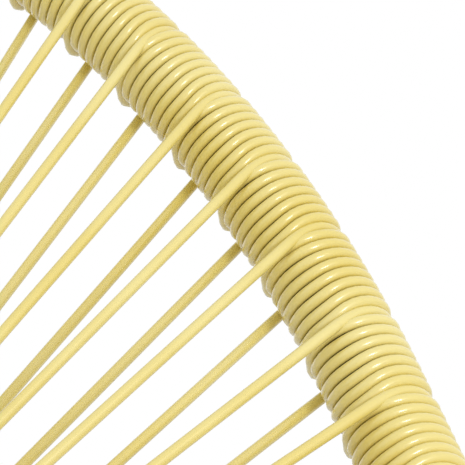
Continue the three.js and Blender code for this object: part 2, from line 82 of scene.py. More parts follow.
# Where a string's wrap lifts over that run
CROSSING_ANGLE = math.radians(305)
CROSSING_HALF_ANGLE = math.radians(40)
CROSSING_LIFT_SHARE = 0.75
# The gap at the hoop's back between the cord of one sector and the next, in turns
JOINT_GAP = 0.02

# How far the turns above a string lean towards it, in turns, and over which turns that fades
LEAN_TURNS = 0.95
LEAN_FADE = (2.0, 8.0)
LEAN_ANGLE = math.radians(20)
LEAN_HALF_ANGLE = math.radians(80)
# How the lean at which the nearest turn meets the string is found, angle by angle
NEAREST_TURN = 2
LEAN_STEP = math.radians(5)
LEAN_STEPS = 34
LEAN_HALVINGS = 7
LEAN_SMOOTHING = 8
SETTLED_SHARE = 0.96

# How a string eases on to the hoop, and how far it goes round the ring's rod on each side
LANDING_ANGLE = math.radians(80)
LANDING_PASSES = 10
LANDING_REACH = 7
ROD_ANGLE = math.radians(80)

# Each lug's sector and its side
LUG_SECTORS = {
    "front_left": (3.5, 1),
    "rear_left": (6.5, 1),
    "rear_right": (19.5, -1),
    "front_right": (22.5, -1),
}

# Lugs, the tubes that start at them, the feet, the braces, the clamp and the stays, in metres
LUG_THICKNESS = 0.004
LUG_REACH = 0.046
LUG_BOLT = 0.033
TANG_THICKNESS = 0.005
TANG_WIDTH = 0.017
TANG_OVERLAP = 0.020
TANG_CLEARANCE = 0.002
PLATE_GAP = 0.0003
LEG_TOP_RUN = 0.060
LEG_BEND = 0.036
FOOT_UPRIGHT = 0.060
FOOT_FLOOR = 0.004
FOOT_HEIGHT = 0.024
FOOT_RADIUS = 0.014
FOOT_GROOVES = 3
FOOT_GROOVE_START = 0.006
FOOT_GROOVE_SPACING = 0.004
FOOT_GROOVE_WIDTH = 0.002
FOOT_GROOVE_DEPTH = 0.0006
BAR_FLAT_HALF = 0.110
BRACE_RADIUS = 0.005
FRONT_BRACE_HEIGHT = 0.100
SIDE_BRACE_HEIGHT = 0.125
CLAMP_WALL = 0.006
CLAMP_GAP = 0.002
CLAMP_LENGTH = 0.040
CLAMP_HALF_WIDTH = 0.028
STAY_RADIUS = 0.004
STAY_TIP_RADIUS = 0.0019
STAY_TIP_LENGTH = 0.016
STAY_TAPER = 0.006
STAY_LAP = 0.001

# Rounded edges and weld beads, in metres
LUG_EDGE = 0.0008
BOLT_EDGE = 0.0005
TANG_EDGE = 0.0006
CLAMP_EDGE = 0.0015
CAP_EDGE = 0.0012
BEAD_RADIUS = 0.0016
SEAM_BEAD_RADIUS = 0.0003
CLAMP_BEAD_RADIUS = 0.0022
BEAD_LIFT = 0.0006

# The left stay's place on the ring, in sectors
STAY_SECTOR = 10.5

# Shares of a tube's radius: where the ends of stays and braces lie in it, and the radius of a tang's bead
STAY_END_SHARE = 0.7
BRACE_END_SHARE = 0.8
TANG_BEAD_SHARE = 0.86

# Vertices closer than this are one
MERGE = 1e-6

# The key lamp's place, so that its sheen lies on the outer side of the winding as the camera sees it
SHEEN_SHARE = 0.33
SHEEN_TURN = math.radians(35)
SHEEN_DISTANCE = 1.6


def length(name, description, default):
    return FloatProperty(name=name, description=description, default=default, unit="LENGTH", precision=4)


def rotation(name, description, default):
    return FloatProperty(name=name, description=description, default=default, unit="ROTATION")


def power(name, description, default):
    return FloatProperty(name=name, description=description, default=default, unit="POWER")


def colour(name, description, default):
    return FloatVectorProperty(name=name, description=description, default=default, subtype="COLOR", size=3)


class ChairSizes(bpy.types.PropertyGroup):
    """The sizes of the chair that a user would change."""

    half_width: length("Half width", "Half the hoop's width, before its swell", 0.342)
    hoop_length: length("Hoop length", "The hoop's length along the bent sheet that it lies in", 0.936)
    swell: FloatProperty(name="Swell", description="How much wider the back half is", default=0.09)
    seat_straight: length("Seat", "The flat part of the sheet under the thighs", 0.318)
    back_straight: length("Back", "The flat part of the sheet behind the back", 0.331)
    seat_angle: rotation("Seat angle", "The seat's rise, going back", -0.16)
    back_angle: rotation("Back angle", "The back's slope above level", 1.1)
    lip_height: length("Lip height", "The height of the front lip", 0.43)
    hoop_radius: length("Hoop radius", "The radius of the hoop's tube", 0.0125)
    cord_diameter: length("Cord diameter", "The diameter of the cord", 0.0038)
    ring_radius: length("Ring radius", "The radius of the inner ring's centre line", 0.090)
    ring_rod: length("Ring rod", "The radius of the inner ring's rod", 0.005)
    ring_back: length("Ring back", "The ring's centre behind the front lip", 0.430)
    ring_drop: length("Ring drop", "The ring's centre below the front lip", 0.060)
    ring_angle: rotation("Ring angle", "The ring's tilt", 0.35)
    string_pitch: length("String pitch", "The strings' spacing on the ring in a sector", 0.0056)
    tube_radius: length("Tube radius", "The radius of the legs and the cross bar", 0.010)
    bar_height: length("Bar height", "The height of the cross bar's middle", 0.280)
    bar_back: length("Bar back", "The cross bar's middle behind the front lip", 0.515)
    foot_half_width: length("Front feet", "Half the distance between the front feet", 0.310)
    foot_front: length("Front foot back", "The front feet behind the front lip", 0.015)
    foot_back: length("Rear foot back", "The rear foot behind the front lip", 0.660)


class ChairColours(bpy.types.PropertyGroup):
    """The colours of the chair's finishes."""

    cord: colour("Cord", "The cord's plastic", (0.80, 0.685, 0.245))
    cord_deep: colour("Cord, deep", "The cord's plastic where it is a little darker", (0.76, 0.62, 0.16))
    paint: colour("Paint", "The powder coat on the steel", (0.036, 0.014, 0.006))
    paint_worn: colour("Paint, worn", "The powder coat where it is rubbed", (0.075, 0.045, 0.030))
    zinc: colour("Zinc", "The plating on the bolts and nuts", (0.62, 0.63, 0.62))
    rubber: colour("Rubber", "The feet", (0.018, 0.018, 0.018))
    floor: colour("Floor", "The floor", (0.80, 0.80, 0.80))


class StageSettings(bpy.types.PropertyGroup):
    """The camera, the lamps and the floor."""

    camera_place: FloatVectorProperty(
        name="Camera place", description="The camera behind, above and beside the front lip",
        default=(0.20181, -0.04024, 0.03978), subtype="XYZ", unit="LENGTH")
    camera_yaw: rotation("Yaw", "The camera's turn to the right", 0.159)
    camera_pitch: rotation("Pitch", "The camera's tilt upwards", 0.145)
    camera_roll: rotation("Roll", "The camera's roll", -0.139)
    focal_pixels: FloatProperty(name="Focal length", description="In pixels of the picture", default=1911.0)
    picture_pixels: IntProperty(name="Picture", description="The picture's side in pixels", default=465)
    floor_radius: length("Floor", "The radius of the floor", 9.0)
    sky: FloatProperty(name="Sky", description="The strength of the light from all round", default=0.86)
    key_power: power("Key lamp", "The power of the main lamp", 7.0)
    key_size: length("Key lamp's size", "The diameter of the main lamp", 0.42)
    fill_power: power("Fill lamp", "The power of the second lamp", 5.0)
    fill_size: length("Fill lamp's size", "The diameter of the second lamp", 1.8)
    fill_place: FloatVectorProperty(
        name="Fill lamp's place", description="The second lamp's place in the chair's frame",
        default=(1.2, -2.2, 1.3), subtype="XYZ", unit="LENGTH")


Place = namedtuple("Place", "point along face inward")


class HoopLine:
    """The hoop's centre line, from the middle of the front lip up the left side and down the right."""

    SAMPLES = 1440

    def __init__(self, sizes):
        self.sizes = sizes
        foot_low, foot_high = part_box("foot_rear")
        self.lip_place = Vector((0, (foot_low.y + foot_high.y) / 2 - sizes.foot_back, sizes.lip_height))
        self.bend_length = sizes.hoop_length - sizes.seat_straight - sizes.back_straight
        self.bend_rate = (sizes.back_angle - sizes.seat_angle) / self.bend_length
        outline = [self.outline(TURN * i / self.SAMPLES) for i in range(self.SAMPLES + 1)]
        self.points = [point for point, _ in outline]
        self.angles = [angle for _, angle in outline]
        self.reach = [0.0]
        for before, after in zip(self.points, self.points[1:]):
            self.reach.append(self.reach[-1] + (after - before).length)
        around = self.points[-2:-1] + self.points + self.points[1:2]
        self.directions = [(after - before).normalized() for before, after in zip(around, around[2:])]
        self.perimeter = self.reach[-1]
        self.sector = self.perimeter / SECTORS
        self.pitch = self.sector / SECTOR_TURNS
        self.wound_radius = sizes.hoop_radius + sizes.cord_diameter / 2

    def sheet(self, along):
        """The bent sheet in side view: a flat seat, a bend and a flat back."""
        sizes = self.sizes
        seat = min(along, sizes.seat_straight)
        bend = min(max(along - sizes.seat_straight, 0), self.bend_length)
        back = max(along - sizes.seat_straight - self.bend_length, 0)
        angle = sizes.seat_angle + self.bend_rate * bend
        y = seat * math.cos(sizes.seat_angle) + back * math.cos(sizes.back_angle)
        z = seat * math.sin(sizes.seat_angle) + back * math.sin(sizes.back_angle)
        y += (math.sin(angle) - math.sin(sizes.seat_angle)) / self.bend_rate
        z -= (math.cos(angle) - math.cos(sizes.seat_angle)) / self.bend_rate
        return y, z, angle

    def outline(self, turn):
        sizes = self.sizes
        y, z, angle = self.sheet(sizes.hoop_length / 2 * (1 - math.cos(turn)))
        x = sizes.half_width * math.sin(turn) * (1 - sizes.swell * math.cos(turn))
        return self.lip_place + Vector((x, y, z)), angle

    def at(self, distance):
        distance %= self.perimeter
        low = min(bisect.bisect_right(self.reach, distance) - 1, self.SAMPLES - 1)
        share = (distance - self.reach[low]) / (self.reach[low + 1] - self.reach[low])
        point = self.points[low].lerp(self.points[low + 1], share)
        along = self.directions[low].lerp(self.directions[low + 1], share).normalized()
        angle = self.angles[low] + share * (self.angles[low + 1] - self.angles[low])
        face = Vector((0, -math.sin(angle), math.cos(angle)))
        face = (face - along * face.dot(along)).normalized()
        return Place(point, along, face, face.cross(along))

    def wound(self, turns, angle, lift=0.0):
        """A point on the winding: angle 0 is the hoop's inner side and a quarter turn its face."""
        place = self.at(turns * self.pitch)
        outward = math.cos(angle) * place.inward + math.sin(angle) * place.face
        return place.point + (self.wound_radius + lift) * outward

    def string_turns(self, string):
        """The turns from the lip to a string's wrap."""
        sector, index = divmod(string, len(ZONE_TURNS))
        return sector * SECTOR_TURNS + FIRST_STRING_TURNS + sum(ZONE_TURNS[:index])


class InnerRing:
    """The small ring that the strings turn round, lowest at its front."""

    def __init__(self, sizes, hoop):
        self.radius = sizes.ring_radius
        self.centre = hoop.lip_place + Vector((0, sizes.ring_back, -sizes.ring_drop))
        self.across = Vector((1, 0, 0))
        self.up = Vector((0, math.cos(sizes.ring_angle), math.sin(sizes.ring_angle)))
        self.face = self.across.cross(self.up)

    def at(self, sector, aside=0.0):
        angle = TURN * sector / SECTORS + aside / self.radius
        outward = math.sin(angle) * self.across - math.cos(angle) * self.up
        return self.centre + self.radius * outward, outward


def bent_route(corners, bend, steps=12):
    """Straight runs between corners, with each corner rounded."""
    points = [corners[0]]
    for before, corner, after in zip(corners, corners[1:], corners[2:]):
        start = corner + (before - corner).normalized() * bend
        end = corner + (after - corner).normalized() * bend
        for i in range(steps + 1):
            share = i / steps
            points.append(start.lerp(corner, share).lerp(corner.lerp(end, share), share))
    return points + [corners[-1]]


def smoothed(points, chosen, passes):
    """The points with the chosen ones, given by number, drawn towards their neighbours."""
    points = list(points)
    for _ in range(passes):
        kept = list(points)
        for i in chosen:
            points[i] = (kept[i - 1] + 2 * kept[i] + kept[i + 1]) / 4
    return points


def near_end(end, far, spacing):
    """Points on the straight run from an end to a far one, as far as the end's rounding needs them."""
    way = (far - end).normalized()
    return [end + way * spacing * i for i in range(1, 2 * LANDING_REACH)]


def clearance(point, path):
    """How far a point is from a path."""
    least = math.inf
    for start, end in zip(path, path[1:]):
        share = intersect_point_line(point, start, end)[1]
        least = min(least, (start.lerp(end, min(1.0, max(0.0, share))) - point).length)
    return least


def tube_shape(paths, radius, sides, closed=False):
    """A bmesh of round tubes along the paths, made from a bevelled curve."""
    curve = bpy.data.curves.new("route", "CURVE")
    curve.dimensions = "3D"
    curve.bevel_depth = radius
    curve.bevel_resolution = (sides - 4) // 2
    curve.use_fill_caps = True
    for path in paths:
        spline = curve.splines.new("POLY")
        spline.points.add(len(path) - 1)
        spline.points.foreach_set("co", [value for point in path for value in (*point, 1.0)])
        spline.use_cyclic_u = closed
    holder = bpy.data.objects.new("route", curve)
    mesh = bpy.data.meshes.new_from_object(holder)
    shape = bmesh.new()
    shape.from_mesh(mesh)
    bmesh.ops.remove_doubles(shape, verts=shape.verts, dist=MERGE)
    bpy.data.objects.remove(holder)
    bpy.data.curves.remove(curve)
    bpy.data.meshes.remove(mesh)
    return shape


def add_shape(shape, other):
    """Puts another bmesh's faces into this one."""
    mesh = bpy.data.meshes.new("part")
    other.to_mesh(mesh)
    other.free()
    shape.from_mesh(mesh)
    bpy.data.meshes.remove(mesh)


def bevel_sharp(shape, width, segments, least_angle=math.radians(35)):
    joined = [edge for edge in shape.edges if len(edge.link_faces) == 2]
    edges = [edge for edge in joined if edge.calc_face_angle() > least_angle]
    bmesh.ops.bevel(
        shape, geom=edges, offset=width, offset_type="OFFSET", segments=segments,
        profile=0.5, affect="EDGES", clamp_overlap=True, material=-1)


def dressed_copy(node, width, segments=2):
    """A copy of a steel node's solid with its edges rounded."""
    shape = bmesh.new()
    shape.from_mesh(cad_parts[node].data)
    bmesh.ops.remove_doubles(shape, verts=shape.verts, dist=MERGE)
    bmesh.ops.dissolve_limit(shape, angle_limit=math.radians(1), verts=shape.verts, edges=shape.edges)
    bevel_sharp(shape, width, segments)
    return shape


def torus_shape(radius, rod, steps, sides, place):
    """A ring of rod, spun about the placed Z axis."""
    shape = bmesh.new()
    turned = Matrix.Translation((radius, 0, 0)) @ Matrix.Rotation(math.pi / 2, 4, "X")
    bmesh.ops.create_circle(shape, cap_ends=False, segments=sides, radius=rod, matrix=turned)
    bmesh.ops.spin(
        shape, geom=shape.verts[:] + shape.edges[:], cent=(0, 0, 0), axis=(0, 0, 1), angle=TURN,
        steps=steps, use_merge=True, use_duplicate=False)
    bmesh.ops.remove_doubles(shape, verts=shape.verts, dist=MERGE)
    bmesh.ops.recalc_face_normals(shape, faces=shape.faces)
    bmesh.ops.transform(shape, matrix=place, verts=shape.verts)
    return shape


def weld_bead(point, axis, radius, bead=BEAD_RADIUS):
    """A rippled bead of weld round a rod's end."""
    place = Matrix.Translation(point) @ axis.to_track_quat("Z", "Y").to_matrix().to_4x4()
    shape = torus_shape(radius, bead, 36, 8, place)
    for vert in shape.verts:
        out = vert.co - point
        ripple = 1 + 0.05 * math.sin(18 * math.atan2(out.dot(place.col[1].xyz), out.dot(place.col[0].xyz)))
        vert.co = point + out * ripple
    return shape


def finish_piece(name, shape, material, slot, *nodes):
    """Makes a bmesh a finished piece that rides on the chair and stands for its nodes."""
    mesh = bpy.data.meshes.new(name)
    shape.to_mesh(mesh)
    shape.free()
    mesh.materials.clear()
    mesh.materials.append(material)
    mesh.shade_smooth()
    mesh.set_sharp_from_angle(angle=math.radians(40))
    piece = bpy.data.objects.new(name, mesh)
    bpy.context.scene.collection.objects.link(piece)
    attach(piece, BODY)
    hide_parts(*nodes)
    return piece


class Finish:
    """A procedural material under construction: its nodes and its main shader."""

    def __init__(self, name):
        self.material = bpy.data.materials.new(name)
        self.material.use_nodes = True
        self.nodes = self.material.node_tree.nodes
        self.links = self.material.node_tree.links
        self.shader = self.nodes["Principled BSDF"]

    def node(self, kind, **values):
        node = self.nodes.new(kind)
        for key, value in values.items():
            if hasattr(node, key):
                setattr(node, key, value)
            else:
                node.inputs[key.replace("_", " ")].default_value = value
        return node

    def noise(self, scale, detail=3.0, stretch=None, source="Object"):
        """Noise on object coordinates, or on the piece's own map, stretched if asked."""
        place = self.node("ShaderNodeTexCoord")
        noise = self.node("ShaderNodeTexNoise", Scale=scale, Detail=detail)
        if stretch is None:
            self.links.new(place.outputs[source], noise.inputs["Vector"])
        else:
            mapping = self.node("ShaderNodeMapping")
            mapping.inputs["Scale"].default_value = stretch
            self.links.new(place.outputs[source], mapping.inputs["Vector"])
            self.links.new(mapping.outputs["Vector"], noise.inputs["Vector"])
        return noise.outputs["Fac"]

    def ramp(self, value, low, high, first, second):
        ramp = self.node("ShaderNodeValToRGB")
        ramp.color_ramp.elements[0].position = low
        ramp.color_ramp.elements[1].position = high
        ramp.color_ramp.elements[0].color = (*first, 1)
        ramp.color_ramp.elements[1].color = (*second, 1)
        self.links.new(value, ramp.inputs["Fac"])
        return ramp.outputs["Color"]

    def spread(self, value, low, high):
        """A value from 0.3 to 0.7 mapped to the range from low to high."""
        spread = self.node("ShaderNodeMapRange")
        spread.inputs["From Min"].default_value = 0.3
        spread.inputs["From Max"].default_value = 0.7
        spread.inputs["To Min"].default_value = low
        spread.inputs["To Max"].default_value = high
        self.links.new(value, spread.inputs["Value"])
        return spread.outputs["Result"]

    def bump(self, height, distance, strength, under=None):
        bump = self.node("ShaderNodeBump")
        bump.inputs["Distance"].default_value = distance
        bump.inputs["Strength"].default_value = strength
        self.links.new(height, bump.inputs["Height"])
        if under is not None:
            self.links.new(under, bump.inputs["Normal"])
        return bump.outputs["Normal"]

    def set(self, **sockets):
        """Sets or links the shader's sockets by name, with _ for a space."""
        for key, value in sockets.items():
            socket = self.shader.inputs[key.replace("_", " ")]
            if isinstance(value, bpy.types.NodeSocket):
                self.links.new(value, socket)
            else:
                socket.default_value = value
        return self.material


def cord_plastic(colours):
    """Glossy extruded plastic: slow changes of tone, die lines along the cord and a faint orange peel."""
    finish = Finish("cord_plastic")
    tone = finish.ramp(finish.noise(22.0, 2.0), 0.35, 0.65, colours.cord_deep, colours.cord)
    lines = finish.noise(1.0, 2.0, (3.0, 46.0, 1.0), "UV")
    peel = finish.bump(finish.noise(700.0, 1.0), 0.00004, 0.2)
    return finish.set(
        Base_Color=tone,
        Roughness=finish.spread(finish.noise(160.0, 2.0), 0.40, 0.48),
        Coat_Weight=1.0,
        Coat_IOR=1.6,
        Coat_Roughness=0.13,
        Specular_IOR_Level=0.5,
        Normal=finish.bump(lines, 0.00005, 0.15, peel),
        IOR=1.52,
    )


def frame_paint(colours):
    """Dark powder coat with its fine texture, rubbed here and there."""
    finish = Finish("frame_paint")
    rubbed = finish.ramp(finish.noise(55.0, 5.0), 0.56, 0.72, colours.paint, colours.paint_worn)
    return finish.set(
        Base_Color=rubbed,
        Roughness=finish.spread(finish.noise(130.0, 3.0), 0.34, 0.5),
        Normal=finish.bump(finish.noise(1400.0, 2.0), 0.00015, 0.35),
        IOR=1.5,
        Coat_Weight=0.25,
        Coat_Roughness=0.3,
    )


def zinc_plate(colours):
    """Zinc plated steel, a little cloudy and brushed."""
    finish = Finish("zinc_plate")
    dull = tuple(0.72 * value for value in colours.zinc)
    return finish.set(
        Base_Color=finish.ramp(finish.noise(260.0, 4.0), 0.35, 0.7, dull, colours.zinc),
        Metallic=1.0,
        Roughness=finish.spread(finish.noise(420.0, 3.0), 0.24, 0.42),
        Normal=finish.bump(finish.noise(600.0, 2.0, (1.0, 1.0, 9.0)), 0.00008, 0.3),
    )


def foot_rubber(colours):
    """Matt rubber, scuffed paler in places."""
    finish = Finish("foot_rubber")
    scuffed = tuple(3.2 * value for value in colours.rubber)
    return finish.set(
        Base_Color=finish.ramp(finish.noise(180.0, 5.0), 0.5, 0.78, colours.rubber, scuffed),
        Roughness=finish.spread(finish.noise(240.0, 3.0), 0.6, 0.85),
        Normal=finish.bump(finish.noise(1100.0, 3.0), 0.0002, 0.4),
    )


def shared(name, maker):
    """The material of that name, made on its first use."""
    return bpy.data.materials.get(name) or maker(bpy.context.scene.chair_colours)


def lug_frame(hoop, name):
    """X across the hoop, Y away from the sitter's side, Z along the hoop towards the tang."""
    sector, side = LUG_SECTORS[name]
    place = hoop.at(sector * hoop.sector)
    columns = (place.inward * side, -place.face, -side * place.along)
    return Matrix.Translation(place.point) @ Matrix(columns).transposed().to_4x4()


def tube_start(hoop, name):
    """The two corners of a tube that starts at a lug."""
    beside = LUG_THICKNESS / 2 + PLATE_GAP + TANG_THICKNESS / 2
    top = LUG_REACH + TANG_CLEARANCE
    return [lug_frame(hoop, name) @ Vector((0, y, beside)) for y in (top, top + LEG_TOP_RUN)]


def tang_shape(hoop, name):
    """The flat tang at a tube's end, round at its bolt."""
    top = LUG_BOLT - TANG_WIDTH / 2
    end = LUG_REACH + TANG_CLEARANCE + TANG_OVERLAP
    shape = bmesh.new()
    bmesh.ops.create_cube(shape, size=1.0, matrix=Matrix.Diagonal((TANG_WIDTH, end - top, TANG_THICKNESS, 1)))
    tip = [edge for edge in shape.edges if all(vert.co.y < 0 for vert in edge.verts)
           and abs(edge.verts[0].co.z - edge.verts[1].co.z) > TANG_THICKNESS / 2]
    bmesh.ops.bevel(
        shape, geom=tip, offset=0.49 * TANG_WIDTH, offset_type="OFFSET", segments=10,
        profile=0.5, affect="EDGES", clamp_overlap=True, material=-1)
    bevel_sharp(shape, TANG_EDGE, 2)
    beside = LUG_THICKNESS / 2 + PLATE_GAP + TANG_THICKNESS / 2
    place = lug_frame(hoop, name) @ Matrix.Translation((0, (top + end) / 2, beside))
    bmesh.ops.transform(shape, matrix=place, verts=shape.verts)
    return shape


def foot_point(sizes, hoop, name, height):
    side = {"front_left": 1, "front_right": -1, "rear": 0}[name]
    back = sizes.foot_back if name == "rear" else sizes.foot_front
    return Vector((side * sizes.foot_half_width, hoop.lip_place.y + back, height))


def bar_middle(sizes, hoop):
    return Vector((0, hoop.lip_place.y + sizes.bar_back, sizes.bar_height))


def clamp_frame(sizes, hoop):
    """X along the cross bar, Y down the rear leg."""
    middle = bar_middle(sizes, hoop)
    down = (foot_point(sizes, hoop, "rear", FOOT_UPRIGHT) - middle).normalized()
    across = Vector((1, 0, 0))
    return Matrix.Translation(middle) @ Matrix((across, down, across.cross(down))).transposed().to_4x4()


def leg_route(sizes, hoop, name):
    foot = [foot_point(sizes, hoop, name, height) for height in (FOOT_UPRIGHT, FOOT_FLOOR + PLATE_GAP)]
    if name == "rear":
        depth = sizes.tube_radius + PLATE_GAP + CLAMP_WALL / 2
        top = [clamp_frame(sizes, hoop) @ Vector((0, depth, 0))]
    else:
        top = tube_start(hoop, name)
    return bent_route(top + foot, LEG_BEND)


def on_route(points, height):
    """Where a route coming down passes a height."""
    for before, after in zip(points, points[1:]):
        if after.z < height <= before.z:
            return before.lerp(after, (before.z - height) / (before.z - after.z))
    raise RuntimeError("the leg doesn't pass that height")


class CHAIR_OT_hoop(bpy.types.Operator):
    """Model the steel hoop that the cord is wound on"""

    bl_idname = "chair.hoop"
    bl_label = "Hoop"

    def execute(self, context):
        sizes = context.scene.chair_sizes
        hoop = HoopLine(sizes)
        count = SECTORS * HOOP_STEPS
        line = [hoop.at(hoop.perimeter * i / count).point for i in range(count)]
        shape = tube_shape([line], sizes.hoop_radius, TUBE_SIDES, closed=True)
        seam = hoop.at(0)
        add_shape(shape, weld_bead(seam.point, seam.along, sizes.hoop_radius, SEAM_BEAD_RADIUS))
        finish_piece("hoop_steel", shape, shared("frame_paint", frame_paint), "frame", "hoop_tube")
        return {"FINISHED"}


class CHAIR_OT_winding(bpy.types.Operator):
    """Wind the cord round the hoop turn by turn and string it to the inner ring"""

    bl_idname = "chair.winding"
    bl_label = "Winding and strings"

    def settled(self, hoop, string, path):
        """How far, in turns, the nearest turn can lean at each angle before it meets the string."""
        least = SETTLED_SHARE * hoop.sizes.cord_diameter
        leans = []
        for i in range(LEAN_STEPS + 1):
            angle = LEAN_STEP * i
            turns = hoop.string_turns(string) + NEAREST_TURN - angle / TURN
            low, high = 0.0, LEAN_TURNS
            for _ in range(LEAN_HALVINGS):
                lean = (low + high) / 2
                clear = clearance(hoop.wound(turns - lean, angle), path) > least
                low, high = (lean, high) if clear else (low, lean)
            leans.append(low)
        for _ in range(LEAN_SMOOTHING):
            leans = [(a + b + c) / 3 for a, b, c in zip(leans[:1] + leans, leans, leans[1:] + leans[-1:])]
        return leans

    def leaned(self, leans, turns, angle):
        """How far, in turns, the fill leans towards the string below it, so many turns above it."""
        fade = min(1.0, (LEAN_FADE[1] - turns) / (LEAN_FADE[1] - LEAN_FADE[0]))
        away = min(1.0, max(0.0, LEAN_ANGLE - angle) / LEAN_HALF_ANGLE)
        step = min(max(angle, 0.0) / LEAN_STEP, LEAN_STEPS - 0.001)
        met = leans[int(step)] + (step % 1) * (leans[int(step) + 1] - leans[int(step)])
        return max(0.0, fade) * min(met, LEAN_TURNS * math.cos(away * math.pi / 2) ** 2)

    def fill_path(self, hoop, first, leans, steps, start_turns, end_turns):
        """The cord between two strings' wraps, from the turns start_turns to end_turns past the first."""
        begin = hoop.string_turns(first)
        zone = hoop.string_turns(first + 1) - begin
        low = max(start_turns, RUN[0][0])
        high = min(end_turns, zone + RUN[-1][0])
        run = [(turns, math.radians(angle), True) for turns, angle in reversed(RUN)]
        places = []
        if start_turns == 0:
            places += [place for place in run[:-1] if place[0] > 0]
        count = round((high - low) * steps)
        for i in range(count + 1):
            turns = low + (high - low) * i / count
            angle = (-TURN * turns + math.pi) % TURN - math.pi
            places.append((turns - self.leaned(leans, turns, angle), angle, False))
        if end_turns == zone:
            places += [(zone + turns, angle, dips) for turns, angle, dips in run[1:] if turns < 0]
        return [(hoop.wound(begin + turns, angle), dips) for turns, angle, dips in places]

    def eased(self, path):
        """The fill's points, with its bends into and out of the runs rounded."""
        near = [i for i in range(1, len(path) - 1)
                if any(dips for _, dips in path[max(i - RUN_REACH, 0):i + RUN_REACH + 1])]
        return smoothed([point for point, _ in path], near, RUN_SMOOTHING)

    def round_rod(self, hoop, ring, string, steps):
        """The string's way round the ring's rod, from its face to its back."""
        sizes = hoop.sizes
        sector, index = divmod(string, len(ZONE_TURNS))
        aside = (index - (len(ZONE_TURNS) - 1) / 2) * sizes.string_pitch
        point, outward = ring.at(sector, aside)
        aim = hoop.at(hoop.string_turns(string) * hoop.pitch).point - point
        tilt = math.atan2(aim.dot(ring.face), aim.dot(outward))
        radius = sizes.ring_rod + sizes.cord_diameter / 2
        turned = []
        for i in range(steps // 2 + 1):
            angle = ROD_ANGLE * (1 - 4 * i / steps) - tilt
            turned.append(point + radius * (math.sin(angle) * ring.face - math.cos(angle) * outward))
        return turned

    def round_hoop(self, hoop, string, targets, steps):
        """The string's wrap, from the hoop's face to its back, with its ends set square to the targets."""
        middle = hoop.string_turns(string)
        count = round(WRAP_TURNS * steps)
        wound = []
        for i in range(count + 1):
            share = i / count
            angle = TURN / 4 + TURN * WRAP_TURNS * share
            near = min(1.0, abs(angle - CROSSING_ANGLE) / CROSSING_HALF_ANGLE)
            lift = CROSSING_LIFT_SHARE * hoop.sizes.cord_diameter * math.cos(near * math.pi / 2) ** 2
            wound.append(hoop.wound(middle + (0.5 - share) * WRAP_TURNS, angle, lift))
        shifts = []
        for side, end, target in ((1, wound[0], targets[0]), (-1, wound[-1], targets[1])):
            place = hoop.at((middle + side * WRAP_TURNS / 2) * hoop.pitch)
            direction = (target - place.point).normalized()
            out = side * place.face
            square = (out - direction * out.dot(direction)).normalized()
            shifts.append(place.point + hoop.wound_radius * square - end)
        for i in range(count + 1):
            for shift, away in ((shifts[0], i), (shifts[1], count - i)):
                fade = max(0.0, 1 - away * TURN / steps / LANDING_ANGLE)
                wound[i] = wound[i] + shift * fade * fade
        return wound

    def string_path(self, hoop, ring, string, steps):
        """One string: from the ring to the hoop's face, round the hoop, and back to the ring."""
        turned = self.round_rod(hoop, ring, string, steps)
        wound = self.round_hoop(hoop, string, (turned[0], turned[-1]), steps)
        spacing = TURN * hoop.wound_radius / steps
        front = near_end(wound[0], turned[0], spacing)[::-1]
        back = near_end(wound[-1], turned[-1], spacing)
        path = front + wound + back
        for landing in (len(front), len(front) + len(wound) - 1):
            near = range(landing - LANDING_REACH, landing + LANDING_REACH + 1)
            path = smoothed(path, near, LANDING_PASSES)
        return path + turned[::-1]

    def execute(self, context):
        sizes = context.scene.chair_sizes
        hoop = HoopLine(sizes)
        ring = InnerRing(sizes, hoop)
        cord = sizes.cord_diameter / 2
        material = shared("cord_plastic", cord_plastic)
        joint = (ZONE_TURNS[-1] - WRAP_TURNS) / 2
        for sector in range(SECTORS):
            shown = sector in SHOWN_SECTORS
            steps = FINE_STEPS if shown else PLAIN_STEPS
            sides = FINE_SIDES if shown else PLAIN_SIDES
            before = sector * len(ZONE_TURNS) - 1
            strings = [before + i for i in range(len(ZONE_TURNS) + 1)]
            wraps = [self.string_path(hoop, ring, string, steps) for string in strings]
            near = 2 * LANDING_REACH + steps // 2
            leans = [self.settled(hoop, string, wrap[:near]) for string, wrap in zip(strings, wraps)]
            fill = self.fill_path(hoop, before, leans[0], steps, joint, ZONE_TURNS[-1])
            for string, lean in zip(strings[1:-1], leans[1:]):
                zone = hoop.string_turns(string + 1) - hoop.string_turns(string)
                fill += self.fill_path(hoop, string, lean, steps, 0, zone)
            fill += self.fill_path(hoop, strings[-1], leans[-1], steps, 0, joint - JOINT_GAP)
            shape = tube_shape([self.eased(fill)], cord, sides)
            add_shape(shape, tube_shape(wraps[1:], cord, sides, closed=True))
            name = "winding_%02d" % (sector + 1)
            finish_piece(name, shape, material, "cord", "cord_sector_%02d" % (sector + 1))
        return {"FINISHED"}


